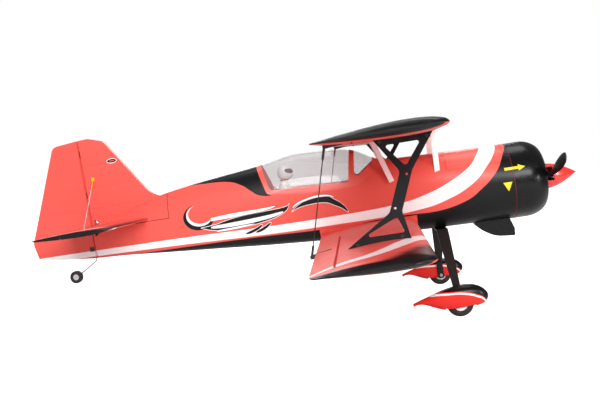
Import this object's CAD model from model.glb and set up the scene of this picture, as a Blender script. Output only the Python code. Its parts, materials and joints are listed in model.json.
"""Looks for a radio controlled foam biplane: paint, plastics, glass, pilot figure and studio."""
import json
import math

import bmesh
import bpy
from mathutils import Matrix, Vector


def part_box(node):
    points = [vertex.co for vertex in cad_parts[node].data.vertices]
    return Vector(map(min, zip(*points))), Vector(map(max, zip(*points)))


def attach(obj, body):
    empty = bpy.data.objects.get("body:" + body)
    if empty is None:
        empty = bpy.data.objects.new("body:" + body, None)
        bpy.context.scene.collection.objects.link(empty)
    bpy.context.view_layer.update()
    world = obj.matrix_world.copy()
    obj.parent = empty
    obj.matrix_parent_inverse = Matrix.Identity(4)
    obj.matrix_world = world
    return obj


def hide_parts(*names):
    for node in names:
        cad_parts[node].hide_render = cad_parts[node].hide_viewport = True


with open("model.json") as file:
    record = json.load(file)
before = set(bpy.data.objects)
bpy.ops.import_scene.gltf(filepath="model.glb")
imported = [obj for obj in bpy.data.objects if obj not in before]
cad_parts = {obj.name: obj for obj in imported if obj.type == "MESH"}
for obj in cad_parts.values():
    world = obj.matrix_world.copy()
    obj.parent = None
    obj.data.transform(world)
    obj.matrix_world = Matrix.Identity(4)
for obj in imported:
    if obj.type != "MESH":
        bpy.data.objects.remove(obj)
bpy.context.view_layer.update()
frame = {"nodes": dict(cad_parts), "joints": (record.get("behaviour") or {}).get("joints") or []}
nodes = frame["nodes"]
joints = {joint["name"]: joint for joint in frame["joints"]}

# ------------------------------------------------------------------ the aircraft's own axes
# The propeller's axis is the aircraft's long axis. Livery is laid out in millimetres from a
# datum on it: X forward, Y to the left, Z up through the fin. The propeller's joint is stated
# at PROPELLER_X ahead of the datum, which is a little in front of the blades.
PROPELLER_X = 90.0
MM = 1000.0
AHEAD = Vector(joints["propeller_spin"]["axis"])
ACROSS = Vector((0.0, 1.0, 0.0))
UPWARD = AHEAD.cross(ACROSS)
DATUM = Vector(joints["propeller_spin"]["pos_m"]) - AHEAD * PROPELLER_X / MM


def place(x, y, z):
    """A point in the aircraft's axes, in millimetres, as a point in the row frame, in metres."""
    return DATUM + (AHEAD * x + ACROSS * y + UPWARD * z) / MM


# ------------------------------------------------------------------ colours
RED = (0.74, 0.092, 0.072)
BRIGHT_RED = (0.70, 0.026, 0.020)
WHITE = (0.86, 0.86, 0.86)
BLACK = (0.004, 0.004, 0.0045)
DARK_RED = (0.16, 0.010, 0.010)
YELLOW = (0.86, 0.60, 0.03)
BLUE = (0.010, 0.045, 0.35)
RAW_FOAM = (0.50, 0.50, 0.49)


# ------------------------------------------------------------------ node arithmetic
class Field:
    """A number that varies over a surface. Arithmetic on it adds math nodes."""

    def __init__(self, tree, socket):
        self.tree = tree
        self.socket = socket

    def _math(self, operation, *values):
        node = self.tree.nodes.new("ShaderNodeMath")
        node.operation = operation
        for slot, value in enumerate(values):
            if isinstance(value, Field):
                self.tree.links.new(value.socket, node.inputs[slot])
            else:
                node.inputs[slot].default_value = value
        return Field(self.tree, node.outputs[0])

    def __add__(self, other):
        return self._math("ADD", self, other)

    def __sub__(self, other):
        return self._math("SUBTRACT", self, other)

    def __rsub__(self, other):
        return self._math("SUBTRACT", other, self)

    def __mul__(self, other):
        return self._math("MULTIPLY", self, other)

    def __truediv__(self, other):
        return self._math("DIVIDE", self, other)

    def magnitude(self):
        return self._math("ABSOLUTE", self)

    def most(self, other):
        return self._math("MAXIMUM", self, other)

    def root(self):
        return self._math("SQRT", self)

    def wave(self, length):
        """A sine wave of that length, from -1 to 1."""
        return self._math("SINE", self * (2.0 * math.pi / length))

    def ramp(self, low, high):
        """0 below low, 1 above high and smooth between them."""
        node = self.tree.nodes.new("ShaderNodeMapRange")
        node.interpolation_type = "SMOOTHSTEP"
        node.inputs["From Min"].default_value = low
        node.inputs["From Max"].default_value = high
        self.tree.links.new(self.socket, node.inputs["Value"])
        return Field(self.tree, node.outputs["Result"])

    def above(self, edge, soft=0.6):
        """1 where this is over edge, with a painted edge that is soft millimetres wide."""
        return (self - edge).ramp(-soft / 2.0, soft / 2.0)

    def below(self, edge, soft=0.6):
        return 1.0 - self.above(edge, soft)

    def between(self, low, high, soft=0.6):
        return self.above(low, soft) * self.below(high, soft)

    def line(self, points):
        """The height of a smooth line through points (this, height)."""
        start, stop = points[0][0], points[-1][0]
        low = min(height for _, height in points)
        high = max(height for _, height in points)
        span = max(high - low, 1e-6)
        reach = self.tree.nodes.new("ShaderNodeMapRange")
        reach.inputs["From Min"].default_value = start
        reach.inputs["From Max"].default_value = stop
        self.tree.links.new(self.socket, reach.inputs["Value"])
        node = self.tree.nodes.new("ShaderNodeFloatCurve")
        curve = node.mapping.curves[0]
        spots = [((at - start) / (stop - start), (height - low) / span) for at, height in points]
        curve.points[0].location = spots[0]
        curve.points[1].location = spots[-1]
        for spot in spots[1:-1]:
            curve.points.new(*spot)
        node.mapping.update()
        self.tree.links.new(reach.outputs["Result"], node.inputs["Value"])
        return Field(self.tree, node.outputs["Value"]) * span + low


# A colour Mix node's sockets, which its other data types share by name.
MIX_FACTOR, MIX_UNDER, MIX_OVER, MIX_RESULT = 0, 6, 7, 2


class Paint:
    """One material under construction: its places, colour, roughness and surface relief."""

    def __init__(self, name):
        self.material = bpy.data.materials.new(name)
        self.material.use_nodes = True
        self.tree = self.material.node_tree
        self.shader = self.tree.nodes["Principled BSDF"]
        self.coordinates = self.tree.nodes.new("ShaderNodeTexCoord")
        self.position = self.coordinates.outputs["Object"]
        self.x = self._along(AHEAD)
        self.y = self._along(ACROSS)
        self.z = self._along(UPWARD)
        self.height = None
        self.tint = None

    def _along(self, axis):
        """Distance from the datum along an axis, in millimetres."""
        dot = self.tree.nodes.new("ShaderNodeVectorMath")
        dot.operation = "DOT_PRODUCT"
        self.tree.links.new(self.position, dot.inputs[0])
        dot.inputs[1].default_value = axis * MM
        return Field(self.tree, dot.outputs["Value"]) - DATUM.dot(axis) * MM

    def facing(self, axis):
        """How far the surface faces along an axis, from -1 to 1."""
        dot = self.tree.nodes.new("ShaderNodeVectorMath")
        dot.operation = "DOT_PRODUCT"
        self.tree.links.new(self.coordinates.outputs["Normal"], dot.inputs[0])
        dot.inputs[1].default_value = axis
        return Field(self.tree, dot.outputs["Value"])

    def from_point(self, x, z):
        """Distance from a line along Y through (x, z), in millimetres."""
        across, up = self.x - x, self.z - z
        return (across * across + up * up).root()

    def noise(self, size, detail=3.0, stretch=(1.0, 1.0, 1.0)):
        """Smooth noise from 0 to 1 whose features are about size millimetres."""
        mapping = self.tree.nodes.new("ShaderNodeMapping")
        mapping.inputs["Scale"].default_value = stretch
        self.tree.links.new(self.position, mapping.inputs["Vector"])
        node = self.tree.nodes.new("ShaderNodeTexNoise")
        node.inputs["Scale"].default_value = MM / size
        node.inputs["Detail"].default_value = detail
        self.tree.links.new(mapping.outputs["Vector"], node.inputs["Vector"])
        return Field(self.tree, node.outputs["Fac"])

    def beads(self, size):
        """Distance to the nearest bead edge of moulded foam, 0 at the edges."""
        node = self.tree.nodes.new("ShaderNodeTexVoronoi")
        node.feature = "DISTANCE_TO_EDGE"
        node.inputs["Scale"].default_value = MM / size
        self.tree.links.new(self.position, node.inputs["Vector"])
        return Field(self.tree, node.outputs["Distance"])

    def colour(self, base, *layers):
        """Base colour, with (mask, colour) layers painted over it in turn."""
        last = None
        for mask, over in layers:
            node = self.tree.nodes.new("ShaderNodeMix")
            node.data_type = "RGBA"
            if last is None:
                node.inputs[MIX_UNDER].default_value = (*base, 1.0)
            else:
                self.tree.links.new(last, node.inputs[MIX_UNDER])
            node.inputs[MIX_OVER].default_value = (*over, 1.0)
            self.tree.links.new(mask.socket, node.inputs[MIX_FACTOR])
            last = node.outputs[MIX_RESULT]
        if last is None:
            self.shader.inputs["Base Color"].default_value = (*base, 1.0)
        self.tint = last
        return self

    def mottle(self, amount, size=40.0):
        """Uneven paint: the colour's lightness varies a little over the surface."""
        node = self.tree.nodes.new("ShaderNodeHueSaturation")
        light = self.noise(size, 4.0) * (2.0 * amount) + (1.0 - amount)
        self.tree.links.new(light.socket, node.inputs["Value"])
        if self.tint is None:
            node.inputs["Color"].default_value = self.shader.inputs["Base Color"].default_value
        else:
            self.tree.links.new(self.tint, node.inputs["Color"])
        self.tree.links.new(node.outputs["Color"], self.shader.inputs["Base Color"])
        return self

    def rough(self, low, high, size=25.0):
        """Roughness that wanders between low and high."""
        value = self.noise(size) * (high - low) + low
        self.tree.links.new(value.socket, self.shader.inputs["Roughness"])
        return self

    def relief(self, height, depth):
        """Adds relief: height is from 0 to 1, and depth is in millimetres."""
        part = height * depth
        self.height = part if self.height is None else self.height + part
        return self

    def constant(self, **values):
        for name, value in values.items():
            self.shader.inputs[name.replace("_", " ")].default_value = value
        return self

    def done(self):
        """Joins the relief to the shader, and gives the material."""
        if self.height is not None:
            bump = self.tree.nodes.new("ShaderNodeBump")
            bump.inputs["Distance"].default_value = 0.001
            bump.inputs["Strength"].default_value = 1.0
            self.tree.links.new(self.height.socket, bump.inputs["Height"])
            self.tree.links.new(bump.outputs["Normal"], self.shader.inputs["Normal"])
        return self.material


# ------------------------------------------------------------------ painted foam
def foam_finish(paint, gloss=0.34):
    """The skin of painted moulded foam: faint bead edges and satin paint."""
    paint.mottle(0.05)
    paint.rough(gloss - 0.05, gloss + 0.09)
    paint.relief(paint.beads(4.2).ramp(0.0, 0.10), 0.035)
    paint.relief(paint.noise(60.0), 0.25)
    paint.constant(Specular_IOR_Level=0.22, Coat_Weight=0.05, Coat_Roughness=0.16)
    return paint


# The stripe along the side sweeps up over the nose. Each line is (x, z) in the aircraft's axes.
WHITE_TOP = [
    (-860, -8), (-700, -8), (-360, -10), (-215, -4), (-170, 5), (-120, 23),
    (-80, 45), (-60, 65), (-46, 82), (-42, 110), (-38, 200),
]
WHITE_FOOT = [
    (-860, -20), (-700, -22), (-360, -27), (-175, -21), (-125, -9), (-80, 12),
    (-47, 41), (-28, 62), (-15, 82), (-9, 110), (-4, 200),
]
RED_FOOT = [
    (-860, -29), (-520, -29), (-360, -33), (-218, -29), (-150, -30), (-100, -20),
    (-64, 0), (-31, 29), (-13, 56), (2, 80), (8, 110), (13, 200),
]
DECK_EDGE = [(-651, 95), (-610, 94), (-555, 90), (-527, 79), (-509, 65), (-491, 53), (-478, 50)]

# Strokes of the side decoration: middle line (x, z), and half its thickness at each x.
BLACK_STROKES = [
    ([(-622, 6), (-590, 3), (-545, 6), (-495, 10), (-455, 16), (-436, 28)],
     [(-622, 0), (-590, 6), (-545, 11), (-495, 10), (-455, 6), (-436, 0)]),
    ([(-432, 12), (-405, 24), (-372, 28), (-345, 17), (-322, -4)],
     [(-432, 0), (-405, 4), (-372, 7), (-345, 6), (-322, 0)]),
    ([(-534, -19), (-516, -15), (-496, -6)], [(-534, 0), (-512, 3), (-496, 0)]),
    ([(-512, -19), (-496, -14), (-478, -4)], [(-512, 0), (-493, 3), (-478, 0)]),
]
WHITE_STROKES = [
    ([(-600, 20), (-560, 22), (-500, 24), (-462, 28)],
     [(-600, 3), (-560, 4), (-500, 3), (-462, 0)]),
    ([(-602, 4), (-560, 4), (-500, 7), (-450, 14)],
     [(-602, 0), (-560, 4), (-500, 4), (-450, 0)]),
    ([(-592, -5), (-560, -4), (-510, -1)],
     [(-592, 0), (-560, 2), (-510, 0)]),
    ([(-430, 19), (-405, 30), (-372, 34), (-345, 27)],
     [(-430, 1), (-405, 2), (-372, 2), (-345, 0)]),
]

# Hooks under the deck's rear end: centre, half lengths, the hole's shift and half lengths,
# and colour.
HOOKS = [
    ((-624, 29), (33, 27), (5, 7), (31, 21), BLACK),
    ((-622, 32), (28, 22), (3, 3), (27, 20), WHITE),
]
HOOK_SLOPE = 0.9
HOOK_OPENING = 622.0

BODY_END = -846.0  # where the black belly and the tail block's joint stop
DECK_BACK, DECK_FRONT, DECK_TOP = -651.0, -470.0, 180.0  # the black deck behind the canopy
NOSE_BLACK = 14.0  # the cowl is black ahead of this
COWL_MARKS_OUT = 60.0  # the cowl's yellow marks keep this far out from the middle
ARROW_BACK, ARROW_NECK, ARROW_TIP, ARROW_Z = -16.0, 10.0, 23.0, 30.0
TRIANGLE_X, TRIANGLE_TIP, TRIANGLE_TOP = -14.0, -12.0, 5.0


def white_sweep(x, z):
    """The white stripe that runs along the sides and up over the nose."""
    return z.between(x.line(WHITE_FOOT), x.line(WHITE_TOP), 1.0)


def stroke(paint, middle, halves, grow):
    """One tapering brush stroke on the aircraft's side, grown by some millimetres."""
    start, stop = middle[0][0], middle[-1][0]
    away = (paint.z - paint.x.line(middle)).magnitude()
    inside = away.below(paint.x.line(halves) + grow, 0.8)
    return inside * paint.x.between(start - grow, stop + grow, 1.0)


def side_layers(paint):
    """The livery of the aircraft's sides, as layers over red."""
    x, z = paint.x, paint.z
    outward = paint.y.magnitude()
    belly = z.below(x.line(RED_FOOT), 1.0) * x.above(BODY_END, 1.0)
    deck = z.above(x.line(DECK_EDGE), 1.0) * x.between(DECK_BACK, DECK_FRONT, 1.0)
    layers = [
        (white_sweep(x, z), WHITE),
        (belly, BLACK),
        (deck * z.below(DECK_TOP), BLACK),
        (x.above(NOSE_BLACK, 1.0), BLACK),
    ]
    for *shape, colour in HOOKS:
        layers.append((hook(x, z, *shape), colour))
    for middle, halves in BLACK_STROKES:
        layers.append((stroke(paint, middle, halves, 1.0), WHITE))
        layers.append((stroke(paint, middle, halves, 0.0), BLACK))
    for middle, halves in WHITE_STROKES:
        layers.append((stroke(paint, middle, halves, 0.8), BLACK))
        layers.append((stroke(paint, middle, halves, 0.0), WHITE))
    layers.append((x.between(-0.9, 0.3, 0.5), DARK_RED))  # the cowl's joint
    layers.append((block_joint(x, z), DARK_RED))
    layers.append((outward.above(COWL_MARKS_OUT) * arrow(x, z), YELLOW))
    layers.append((outward.above(COWL_MARKS_OUT) * triangle(x, z), YELLOW))
    return layers


def inside_oval(x, z, centre, halves, soft=0.06):
    """1 inside an oval about centre. soft is its edge's width as a share of the oval."""
    along = (x - centre[0]) / halves[0]
    up = (z - centre[1]) / halves[1]
    return (along * along + up * up).below(1.0, soft)


def hook(x, z, centre, halves, shift, inner):
    """A hook: an oval less a smaller one moved forward and up, open at the top front."""
    hole = (centre[0] + shift[0], centre[1] + shift[1])
    crescent = inside_oval(x, z, centre, halves) * (1.0 - inside_oval(x, z, hole, inner))
    return crescent * (z - x * HOOK_SLOPE - HOOK_OPENING).below(2.0 * halves[1], 1.0)


def arrow(x, z):
    """A plain arrow that points forward across the cowl's joint."""
    away = (z - ARROW_Z).magnitude()
    shaft = x.between(ARROW_BACK, ARROW_NECK + 2.0) * away.below(2.6)
    head = x.between(ARROW_NECK, ARROW_TIP) * away.below((ARROW_TIP - x) * 0.45)
    return shaft.most(head)


def triangle(x, z):
    """A plain triangle on its tip."""
    half_width = (z - TRIANGLE_TIP) * 0.5
    return z.between(TRIANGLE_TIP, TRIANGLE_TOP) * (x - TRIANGLE_X).magnitude().below(half_width)


def within(paint):
    """1 on the faces that look inward, to the aircraft's long axis."""
    outward = paint.facing(ACROSS) * paint.y + paint.facing(UPWARD) * (paint.z - 10.0)
    return outward.below(-4.0, 4.0)


def side_paint(name, gloss=0.34):
    paint = Paint(name)
    paint.colour(RED, *side_layers(paint), (within(paint), RAW_FOAM))
    foam_finish(paint, gloss)
    return paint


def groove(value, at, width=0.9):
    """A moulded panel line: 1 away from it and 0 in it."""
    return (value - at).magnitude().ramp(0.0, width)


# The tail block's joint with the fuselage: its front face, and its foot behind that.
BLOCK_X = -687.0
BLOCK_Z = 36.0


def block_joint(x, z):
    """The fine dark line where the tail block is glued into the fuselage."""
    front = (x - BLOCK_X).magnitude().below(0.6, 0.5) * z.above(BLOCK_Z)
    foot = (z - BLOCK_Z).magnitude().below(0.6, 0.5) * x.between(BODY_END, BLOCK_X)
    return front.most(foot)


# A moulded line along the fuselage's upper side, from the nose back to SEAM_BACK.
SEAM_Z = 56.0
SEAM_BACK = -240.0


def fuselage_paint():
    paint = side_paint("painted_foam_fuselage")
    paint.relief(1.0 - block_joint(paint.x, paint.z), 0.3)
    paint.relief(groove(paint.z, SEAM_Z).most(paint.x.below(SEAM_BACK)), 0.3)
    return paint.done()


def cowl_paint():
    return side_paint("painted_foam_cowl", 0.24).done()


# Plain ovals on the fin, in line with the fuselage, and the panel lines' heights.
BADGE_AT = (-792.0, 172.0)
BADGE_OVALS = [((11.0, 5.0), WHITE), ((9.8, 3.8), BLACK), ((6.0, 1.2), RED)]
TAIL_GROOVES = (36.0, 78.0, 122.0, 168.0)


def tail_paint():
    paint = Paint("painted_foam_tail")
    x, z = paint.x, paint.z
    layers = [(white_sweep(x, z), WHITE)]
    for halves, colour in BADGE_OVALS:
        layers.append((inside_oval(x, z, BADGE_AT, halves, 0.15), colour))
    layers.append((block_joint(x, z), DARK_RED))
    paint.colour(RED, *layers)
    foam_finish(paint)
    for at in TAIL_GROOVES:
        paint.relief(groove(z, at, 1.4), 0.35)
    return paint.done()


# Wing livery against x: the white band's inner and outer edge, and the start of the dark tip.
BAND_INNER = [(-374, 508), (-331, 472), (-296, 458), (-251, 392), (-222, 338), (-190, 290)]
BAND_OUTER = [(-374, 517), (-325, 492), (-284, 482), (-241, 431), (-215, 378), (-190, 335)]
DARK_START = [(-374, 551), (-335, 534), (-284, 511), (-243, 466), (-218, 412), (-190, 380)]


UPPER_STAGGER = 33.0  # how far the upper wing's livery lies ahead of the lower one's
TIP_BLACK = 524.0  # all is black beyond this
STREAK = 26.0  # how far the sprayed edge of the black wanders
FADE = 46.0  # and how wide it is
RIDGE_PITCH = 21.0  # moulded ridges across the wing


def wing_paint(name, stagger, dark_face):
    """Red wing with a white band and a black tip. With dark_face, the black starts further in."""
    paint = Paint(name)
    x = paint.x - stagger
    out = paint.y.magnitude()
    inner, outer, dark = x.line(BAND_INNER), x.line(BAND_OUTER), x.line(DARK_START)
    streak = paint.noise(14.0, 4.0, (0.15, 1.0, 0.15)) * STREAK
    gradient = (out - dark + streak - STREAK / 2.0).ramp(0.0, FADE)
    above = paint.facing(UPWARD).ramp(-0.25, -0.10)
    layers = [(out.between(inner, outer, 1.2) * above, WHITE), (gradient * above, BLACK)]
    if dark_face:
        layers.append((out.above(outer + 8.0, 1.2) * above, BLACK))
    layers.append((out.above(TIP_BLACK, 4.0), BLACK))
    paint.colour(RED, *layers)
    foam_finish(paint)
    ridge = paint.y.wave(RIDGE_PITCH) * 0.5 + 0.5
    paint.relief(ridge.ramp(0.0, 0.25), 0.45)
    return paint.done()


STABILISER_FRONT = -742.0
STABILISER_SWEEP = 0.35
STABILISER_TIP = 172.0
STABILISER_STRIPE = (146.0, 160.0)


def stabiliser_paint():
    """Red with a black leading edge above, a white stripe and a black tip."""
    paint = Paint("painted_foam_stabiliser")
    out = paint.y.magnitude()
    edge = (out * STABILISER_SWEEP + paint.x - STABILISER_FRONT).ramp(0.0, 34.0)
    above = paint.facing(UPWARD).ramp(0.0, 0.2)
    tip = out.above(STABILISER_TIP, 2.0)
    stripe = out.between(*STABILISER_STRIPE, 1.2)
    paint.colour(RED, (stripe, WHITE), (edge * above, BLACK), (tip, BLACK))
    foam_finish(paint)
    return paint.done()


# The lower edge of the pants' black, from the wheel's centre, level with the ground.
PANT_BLACK = [(-90, 4), (-54, 15), (-25, 21), (4, 24), (30, 20), (44, 12), (56, 2)]


def pant_paint():
    """Wheel fairing: black above, a thin white line and red below, about the wheel's centre."""
    paint = Paint("painted_foam_pants")
    centre = (Vector(joints["wheel_right_roll"]["pos_m"]) - DATUM) * MM
    flat = Vector((1.0, 0.0, 0.0))
    x = paint.x * AHEAD.dot(flat) + paint.z * UPWARD.dot(flat) - centre.dot(flat)
    z = paint.x * AHEAD.z + paint.z * UPWARD.z - centre.z
    edge = x.line(PANT_BLACK)
    white = z.between(edge - 5.0, edge - 2.0, 0.8)
    paint.colour(BRIGHT_RED, (z.above(edge, 0.8), BLACK), (white, WHITE))
    foam_finish(paint, 0.28)
    return paint.done()


def canopy_frame_paint():
    paint = Paint("painted_canopy_frame")
    paint.colour(RED)
    paint.mottle(0.05)
    paint.rough(0.26, 0.36)
    paint.relief(paint.noise(30.0), 0.08)
    paint.shader.inputs["Coat Weight"].default_value = 0.25
    return paint.done()


# ------------------------------------------------------------------ plastics, metals and the rest
def plastic(name, colour, low, high, grain=0.03, coat=0.0):
    """Moulded plastic with a fine spark-eroded grain."""
    paint = Paint(name)
    paint.colour(colour)
    paint.mottle(0.07, 12.0)
    paint.rough(low, high, 8.0)
    paint.relief(paint.noise(0.8, 2.0), grain)
    paint.constant(Coat_Weight=coat)
    return paint.done()


def strut_paint(name, colour):
    """Flat strut with a moulded edge and faint lengthwise flow lines."""
    paint = Paint(name)
    paint.colour(colour)
    paint.mottle(0.05, 18.0)
    paint.rough(0.30, 0.46, 14.0)
    paint.relief(paint.noise(2.2, 2.0, (1.0, 1.0, 0.2)), 0.05)
    paint.constant(Specular_IOR_Level=0.18)
    return paint.done()


def frosted_plastic():
    """Milky cabane struts that let a little of the red behind them show."""
    paint = Paint("frosted_plastic")
    paint.colour((0.88, 0.72, 0.71))
    paint.mottle(0.05, 20.0)
    paint.rough(0.28, 0.42, 12.0)
    paint.relief(paint.noise(3.0, 2.0), 0.03)
    paint.constant(Subsurface_Weight=0.25, Subsurface_Scale=0.004)
    return paint.done()


def canopy_plastic():
    """Thin blown canopy: clear, slightly smoked, with soft waves from moulding."""
    paint = Paint("clear_canopy")
    paint.colour((0.36, 0.30, 0.31))
    paint.mottle(0.03, 60.0)
    paint.rough(0.05, 0.12, 40.0)
    paint.relief(paint.noise(45.0, 2.0), 0.04)
    paint.constant(Alpha=0.20, IOR=1.49, Coat_Weight=0.3)
    return paint.done()


def plywood():
    paint = Paint("plywood")
    grain = paint.noise(9.0, 6.0, (0.06, 1.0, 1.0))
    layers = [(grain.ramp(0.42, 0.62), (0.36, 0.20, 0.085))]
    layers.append((paint.y.wave(1.0).ramp(0.55, 0.95) * 0.35, (0.20, 0.10, 0.04)))
    paint.colour((0.52, 0.33, 0.16), *layers)
    paint.mottle(0.08, 25.0)
    paint.rough(0.55, 0.72)
    paint.relief(grain, 0.12)
    return paint.done()


def carbon():
    """Carbon tube: a black weave of 2 mm tows under clear resin."""
    paint = Paint("carbon_tube")
    weave = paint.x.wave(4.0) * paint.y.wave(4.0)
    paint.colour((0.012, 0.012, 0.013), (weave.ramp(-0.2, 0.2), (0.035, 0.036, 0.038)))
    paint.mottle(0.08, 10.0)
    paint.rough(0.28, 0.40)
    paint.relief(weave * 0.5 + 0.5, 0.05)
    paint.constant(Coat_Weight=0.5)
    return paint.done()


def metal(name, colour, low, high, stretch=(1.0, 1.0, 1.0)):
    """Drawn or turned metal with fine marks along its working direction."""
    paint = Paint(name)
    marks = paint.noise(1.6, 3.0, stretch)
    paint.colour(colour)
    paint.mottle(0.10, 6.0)
    paint.rough(low, high, 5.0)
    paint.relief(marks, 0.03)
    paint.constant(Metallic=1.0)
    return paint.done()


def stator():
    """Motor core: copper windings between dark steel ends."""
    paint = Paint("motor_windings")
    radius = (paint.y * paint.y + paint.z * paint.z).root()
    copper = radius.between(7.5, 15.5) * paint.x.between(20.0, 50.0)
    paint.colour((0.20, 0.20, 0.21), (copper, (0.72, 0.27, 0.09)))
    paint.mottle(0.10, 4.0)
    paint.rough(0.28, 0.42, 4.0)
    strands = paint.x.wave(0.9) * 0.5 + 0.5
    paint.relief(strands * copper, 0.12)
    paint.constant(Metallic=1.0)
    return paint.done()


def rubber():
    """Foam rubber tyre: matt, pitted, scuffed grey where it rolls."""
    paint = Paint("wheel_rubber")
    scuff = paint.noise(5.0, 5.0).ramp(0.50, 0.70)
    paint.colour((0.010, 0.010, 0.010), (scuff * 0.5, (0.030, 0.029, 0.028)))
    paint.mottle(0.10, 8.0)
    paint.rough(0.62, 0.82, 6.0)
    paint.relief(paint.noise(1.2, 3.0), 0.09)
    return paint.done()


TAIL_HUB_RADIUS = 6.0


def tail_wheel_paint():
    """Small tyre on a pale moulded hub, told apart by distance from the wheel's axle."""
    paint = Paint("tail_wheel")
    centre = (Vector(joints["tail_wheel_roll"]["pos_m"]) - DATUM) * MM
    away = paint.from_point(centre.dot(AHEAD), centre.dot(UPWARD))
    hub = away.below(TAIL_HUB_RADIUS)
    paint.colour((0.010, 0.010, 0.010), (hub, (0.55, 0.55, 0.56)))
    paint.mottle(0.10, 6.0)
    paint.rough(0.50, 0.74, 5.0)
    paint.relief(paint.noise(1.2, 3.0), 0.07)
    return paint.done()


def electronics():
    """Receiver and speed controller: black shrink wrap with a plain coloured band."""
    paint = Paint("electronics")
    stripe = paint.x.between(-60.0, -48.0).most(paint.x.between(-250.0, -244.0))
    paint.colour((0.012, 0.013, 0.018), (stripe, (0.02, 0.14, 0.42)))
    paint.mottle(0.10, 7.0)
    paint.rough(0.30, 0.50, 6.0)
    paint.relief(paint.noise(7.0, 3.0), 0.20)
    return paint.done()


BRACE_TAB_FOOT = 120.0


def brace_paint():
    """Tail bracing: steel wire with a yellow tab where it meets the fin."""
    paint = Paint("tail_brace_wire")
    tab = paint.z.above(BRACE_TAB_FOOT, 2.0)
    paint.colour((0.55, 0.54, 0.52), (tab, YELLOW))
    paint.mottle(0.08, 6.0)
    paint.rough(0.25, 0.40, 5.0)
    paint.relief(paint.noise(1.5, 2.0), 0.02)
    paint.constant(Metallic=0.6)
    return paint.done()


def propeller_paint():
    """Glass-filled nylon: satin black with faint flow marks along the blades."""
    paint = Paint("propeller_nylon")
    paint.colour((0.010, 0.009, 0.010))
    paint.mottle(0.10, 15.0)
    paint.rough(0.28, 0.44, 12.0)
    paint.relief(paint.noise(5.0, 3.0, (1.0, 1.0, 0.3)), 0.08)
    paint.constant(Specular_IOR_Level=0.3)
    return paint.done()


# ------------------------------------------------------------------ the pilot figure
def ellipsoid(mesh, centre, radii, lean=0.0):
    """Adds an ellipsoid in the aircraft's axes, leaning forward by some degrees."""
    made = bmesh.ops.create_uvsphere(mesh, u_segments=32, v_segments=20, radius=1.0)
    turn = Matrix.Rotation(math.radians(lean), 3, "Y")
    for vertex in made["verts"]:
        at = turn @ Vector(vertex.co[i] * radii[i] for i in range(3))
        vertex.co = place(*(at + Vector(centre)))
    return made["verts"]


def mesh_object(name, mesh, smooth=True):
    data = bpy.data.meshes.new(name)
    bmesh.ops.recalc_face_normals(mesh, faces=mesh.faces[:])
    mesh.to_mesh(data)
    mesh.free()
    made = bpy.data.objects.new(name, data)
    bpy.context.scene.collection.objects.link(made)
    if smooth:
        data.shade_smooth()
    return made


def apply_modifiers(thing):
    """Replaces the object's mesh with its result, so that no modifier is left on it."""
    graph = bpy.context.evaluated_depsgraph_get()
    result = bpy.data.meshes.new_from_object(thing.evaluated_get(graph))
    thing.modifiers.clear()
    thing.data = result
    result.shade_smooth()


def blended(name, parts, voxel, smoothing):
    """Several ellipsoids melted into one smooth closed skin."""
    mesh = bmesh.new()
    for part in parts:
        ellipsoid(mesh, *part)
    made = mesh_object(name, mesh)
    remesh = made.modifiers.new("remesh", "REMESH")
    remesh.mode = "VOXEL"
    remesh.voxel_size = voxel
    soften = made.modifiers.new("soften", "SMOOTH")
    soften.iterations = smoothing
    soften.factor = 0.5
    apply_modifiers(made)
    return made


def pair(centre, radii, lean=0.0):
    """An ellipsoid's measures, and its mirror image's across the aircraft's middle."""
    x, y, z = centre
    return [((x, side * y, z), radii, lean) for side in (1, -1)]


def pilot_bust():
    """Seated figure: helmet, dark visor, scarfed neck, shoulders, arms and lap."""
    low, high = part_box("pilot")
    base = ((low + high) / 2.0 - DATUM) * MM
    x, z = base.dot(AHEAD), base.dot(UPWARD)
    tall = (high.z - low.z) * MM
    crown = z + tall / 2.0
    head = (x + 4.0, 0.0, crown - 17.0)
    suit = [
        ((x - 1.0, 0.0, crown - 50.0), (11.0, 15.0, 20.0), 0.0),  # torso
        *pair((x, 12.5, crown - 39.0), (6.0, 4.6, 6.5)),  # shoulders
        *pair((x + 5.0, 13.2, crown - 52.0), (5.0, 3.6, 12.5), -28.0),  # arms
        ((x + 1.0, 0.0, crown - 34.0), (7.0, 7.0, 5.0), 0.0),  # neck
        *pair((x + 3.0, 7.0, crown - 66.0), (15.0, 6.5, 5.5)),  # thighs
    ]
    body = blended("pilot_suit", suit, 0.0011, 6)
    helmet_parts = [
        (head, (15.0, 13.0, 15.5), 0.0),
        ((head[0] + 6.0, 0.0, head[2] - 6.0), (10.0, 9.5, 8.0), 0.0),
        ((head[0] - 4.0, 0.0, head[2] - 3.0), (11.0, 11.5, 11.0), 0.0),
    ]
    helmet = blended("pilot_helmet", helmet_parts, 0.0009, 5)
    visor_parts = [((head[0] + 5.0, 0.0, head[2] + 2.5), (12.4, 13.2, 7.6), 14.0)]
    visor = blended("pilot_visor", visor_parts, 0.0008, 3)
    collar = bmesh.new()
    ring(collar, (x + 1.5, 0.0, crown - 31.5), 7.4, 1.8)
    collar = mesh_object("pilot_collar", collar)
    belts = bmesh.new()
    for side in (-1, 1):
        strap(belts, x, side, crown)
    belts = mesh_object("pilot_harness", belts)
    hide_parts("pilot")
    return body, helmet, visor, collar, belts


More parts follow.
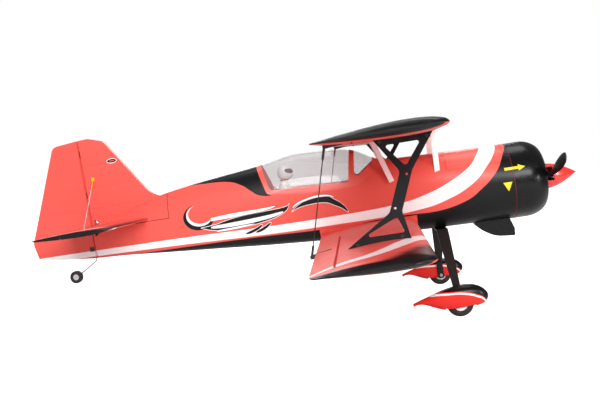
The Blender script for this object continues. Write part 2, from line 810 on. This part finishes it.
def ring(mesh, centre, radius, thick):
    """A torus that lies level in the aircraft's axes."""
    around, about = 40, 14
    rows = []
    for step in range(around):
        turn = 2.0 * math.pi * step / around
        row = []
        for part in range(about):
            tilt = 2.0 * math.pi * part / about
            reach = radius + thick * math.cos(tilt)
            at = (
                centre[0] + reach * math.cos(turn),
                centre[1] + reach * math.sin(turn),
                centre[2] + thick * math.sin(tilt),
            )
            row.append(mesh.verts.new(place(*at)))
        rows.append(row)
    for step in range(around):
        here, following = rows[step], rows[(step + 1) % around]
        for part in range(about):
            after = (part + 1) % about
            mesh.faces.new((here[part], following[part], following[after], here[after]))


def strap(mesh, x, side, crown):
    """A shoulder strap: a flat closed band down the front of the suit."""
    route = [
        (-2, 7.5, -36.5), (5, 7.0, -37.5), (10.0, 6.4, -44), (11.4, 5.4, -52), (11.0, 3.4, -60),
    ]
    width, thick = 1.6, 0.5
    rows = []
    for ahead, out, down in route:
        corners = []
        for across, lift in ((-width, 0), (width, 0), (width, thick), (-width, thick)):
            at = (x + ahead + lift, side * (out + across), crown + down + lift)
            corners.append(mesh.verts.new(place(*at)))
        rows.append(corners)
    for here, following in zip(rows, rows[1:]):
        for corner in range(4):
            after = (corner + 1) % 4
            mesh.faces.new((here[corner], here[after], following[after], following[corner]))
    mesh.faces.new(rows[0][::-1])
    mesh.faces.new(rows[-1])


def suit_paint():
    """White cloth suit, blue below the waist, with a fine weave."""
    paint = Paint("pilot_suit")
    low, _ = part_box("pilot")
    waist = (low - DATUM).z * MM + 22.0
    lap = paint.z.below(waist, 1.5)
    paint.colour((0.82, 0.82, 0.81), (lap, BLUE))
    paint.mottle(0.05, 6.0)
    paint.rough(0.60, 0.80, 5.0)
    weave = paint.x.wave(0.9) * paint.z.wave(0.9) * 0.5 + 0.5
    paint.relief(weave, 0.05)
    paint.relief(paint.noise(5.0, 3.0), 0.5)
    return paint.done()


# ------------------------------------------------------------------ putting finishes on
def finish(material, *names):
    """Gives the CAD nodes that material."""
    for name in names:
        slots = nodes[name].data.materials
        slots.clear()
        slots.append(material)


def both(name):
    return [name.replace("SIDE", side) for side in ("left", "right")]


def paint_frame():
    """Every CAD node gets its finish."""
    lower = wing_paint("painted_foam_lower_wing", 0.0, False)
    upper = wing_paint("painted_foam_upper_wing", UPPER_STAGGER, True)
    black = plastic("black_plastic", (0.012, 0.012, 0.013), 0.32, 0.48)
    white = plastic("white_plastic", (0.78, 0.78, 0.77), 0.34, 0.46)
    fittings = plastic("fitting_nylon", (0.02, 0.02, 0.021), 0.36, 0.50, 0.05)
    wire = metal("steel_wire", (0.50, 0.50, 0.51), 0.24, 0.38, (0.1, 1.0, 1.0))
    blackened = metal("black_screws", (0.05, 0.05, 0.052), 0.34, 0.48)
    finish(fuselage_paint(), "fuselage_left", "fuselage_right", "hatch")
    finish(cowl_paint(), "cowl", "chin_scoop")
    finish(tail_paint(), "tail_fin", "rudder")
    finish(stabiliser_paint(), "stabiliser", "elevator_left", "elevator_right")
    finish(lower, "lower_wing", *both("lower_SIDE_aileron"))
    finish(upper, "upper_wing", *both("upper_SIDE_aileron"))
    finish(pant_paint(), *both("wheel_pant_SIDE"))
    finish(canopy_frame_paint(), "canopy_frame")
    finish(canopy_plastic(), "canopy_glass")
    finish(frosted_plastic(), "cabane_struts")
    finish(strut_paint("strut_composite", (0.008, 0.008, 0.009)), *both("interplane_strut_SIDE"))
    finish(strut_paint("gear_composite", (0.016, 0.013, 0.013)), "landing_gear")
    finish(propeller_paint(), "propeller")
    finish(plastic("spinner_red", BRIGHT_RED, 0.22, 0.30, 0.01, 0.3), "spinner_cone")
    finish(plastic("spinner_plate", (0.60, 0.02, 0.018), 0.30, 0.40), "spinner_backplate")
    finish(metal("motor_can", (0.16, 0.16, 0.17), 0.22, 0.34, (1.0, 0.2, 0.2)), "motor_bell")
    finish(stator(), "motor_stator")
    finish(plywood(), "plywood_formers")
    finish(carbon(), "wing_spars")
    finish(rubber(), *both("tyre_SIDE"))
    finish(white, *both("wheel_hub_SIDE"))
    finish(tail_wheel_paint(), "tail_wheel")
    finish(wire, "tail_wheel_wire", "wheel_axles", "elevator_pushrod", "rudder_pushrod")
    finish(wire, *both("SIDE_aileron_pushrod"))
    finish(blackened, *both("SIDE_aileron_link"))
    finish(brace_paint(), "tail_braces")
    finish(electronics(), "receiver_and_speed_controller")
    finish(black, "servos")
    finish(blackened, "strut_brackets_and_screws")
    finish(white, "elevator_arm", "rudder_arm", *both("SIDE_aileron_arm"))
    finish(fittings, "elevator_fittings", "rudder_fittings", "fixed_hinges")
    finish(fittings, *both("lower_SIDE_aileron_fittings"), *both("upper_SIDE_aileron_fittings"))


def place_pilot():
    body, helmet, visor, collar, belts = pilot_bust()
    shell = plastic("pilot_helmet_shell", (0.86, 0.86, 0.86), 0.22, 0.32, 0.01, 0.3)
    finishes = (
        (body, suit_paint()),
        (helmet, shell),
        (visor, plastic("pilot_visor_smoke", (0.02, 0.02, 0.024), 0.08, 0.14, 0.0, 0.5)),
        (collar, plastic("pilot_collar_cloth", (0.62, 0.10, 0.06), 0.60, 0.75, 0.10)),
        (belts, plastic("pilot_harness_web", (0.45, 0.46, 0.50), 0.60, 0.75, 0.10)),
    )
    for piece, material in finishes:
        piece.data.materials.clear()
        piece.data.materials.append(material)
        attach(piece, "airframe")


# ------------------------------------------------------------------ studio
FLOOR_REACH = 14.0
FLOOR_GLOW = 0.90  # the floor's own light, seen by the camera only
BACKDROP_LIGHT = 1.0  # the white that the camera sees behind the model
ROOM_LIGHT = 0.20  # the light that the model gets from all around

# Each light's name, place, aim, width and height, and power in watts.
LIGHTS = [
    ("key", (0.2, -2.6, 1.35), (0.0, 0.0, 0.2), (2.6, 0.7), 92.0),
    ("nose", (1.9, -1.3, 0.8), (0.45, 0.0, 0.25), (0.25, 0.9), 16.0),
    ("top", (-0.2, 0.4, 2.2), (0.0, 0.0, 0.2), (2.0, 1.0), 24.0),
    ("back", (-0.4, 2.6, 1.4), (0.0, 0.0, 0.2), (2.4, 0.7), 26.0),
]

CAMERA_PLACE = (0.1195, -1.4330, 0.2969)
CAMERA_YAW, CAMERA_TILT, CAMERA_ROLL = 4.443, -4.188, 1.468  # degrees
CAMERA_LENS = 42.13


def floor():
    """A pale seamless floor that the wheels stand on."""
    mesh = bmesh.new()
    bmesh.ops.create_grid(mesh, x_segments=1, y_segments=1, size=FLOOR_REACH)
    made = mesh_object("studio_floor", mesh, smooth=False)
    paint = Paint("studio_floor")
    paint.colour((0.80, 0.80, 0.80))
    paint.mottle(0.01, 400.0)
    paint.rough(0.85, 0.95, 100.0)
    paint.constant(Specular_IOR_Level=0.0, Emission_Color=(1.0, 1.0, 1.0, 1.0))
    ray = paint.tree.nodes.new("ShaderNodeLightPath")
    seen = Field(paint.tree, ray.outputs["Is Camera Ray"]) * FLOOR_GLOW
    paint.tree.links.new(seen.socket, paint.shader.inputs["Emission Strength"])
    made.data.materials.append(paint.done())


def area_light(name, at, aim, size, power):
    data = bpy.data.lights.new(name, "AREA")
    data.shape = "RECTANGLE"
    data.size, data.size_y = size
    data.energy = power
    lamp = bpy.data.objects.new(name, data)
    lamp.location = at
    lamp.rotation_euler = (Vector(aim) - Vector(at)).to_track_quat("-Z", "Y").to_euler()
    bpy.context.scene.collection.objects.link(lamp)


def studio():
    scene = bpy.context.scene
    scene.view_settings.view_transform = "Standard"
    world = bpy.data.worlds.new("studio")
    world.use_nodes = True
    tree = world.node_tree
    backdrop = tree.nodes["Background"]
    backdrop.inputs["Color"].default_value = (1.0, 1.0, 1.0, 1.0)
    backdrop.inputs["Strength"].default_value = BACKDROP_LIGHT
    room = tree.nodes.new("ShaderNodeBackground")
    room.inputs["Color"].default_value = (1.0, 1.0, 1.0, 1.0)
    room.inputs["Strength"].default_value = ROOM_LIGHT
    ray = tree.nodes.new("ShaderNodeLightPath")
    choice = tree.nodes.new("ShaderNodeMixShader")
    tree.links.new(ray.outputs["Is Camera Ray"], choice.inputs["Fac"])
    tree.links.new(room.outputs["Background"], choice.inputs[1])
    tree.links.new(backdrop.outputs["Background"], choice.inputs[2])
    tree.links.new(choice.outputs["Shader"], tree.nodes["World Output"].inputs["Surface"])
    scene.world = world
    floor()
    for light in LIGHTS:
        area_light(*light)


def camera():
    """The photographer's place: level with the wings, square to the starboard side."""
    data = bpy.data.cameras.new("camera")
    data.lens = CAMERA_LENS
    data.sensor_width = 36.0
    data.clip_end = 60.0
    made = bpy.data.objects.new("camera", data)
    turn = Matrix.Rotation(math.radians(CAMERA_YAW), 4, "Z")
    tilt = Matrix.Rotation(math.radians(90.0 + CAMERA_TILT), 4, "X")
    roll = Matrix.Rotation(math.radians(CAMERA_ROLL), 4, "Z")
    made.matrix_world = Matrix.Translation(CAMERA_PLACE) @ turn @ tilt @ roll
    bpy.context.scene.collection.objects.link(made)
    bpy.context.scene.camera = made


studio()
camera()
paint_frame()
place_pilot()
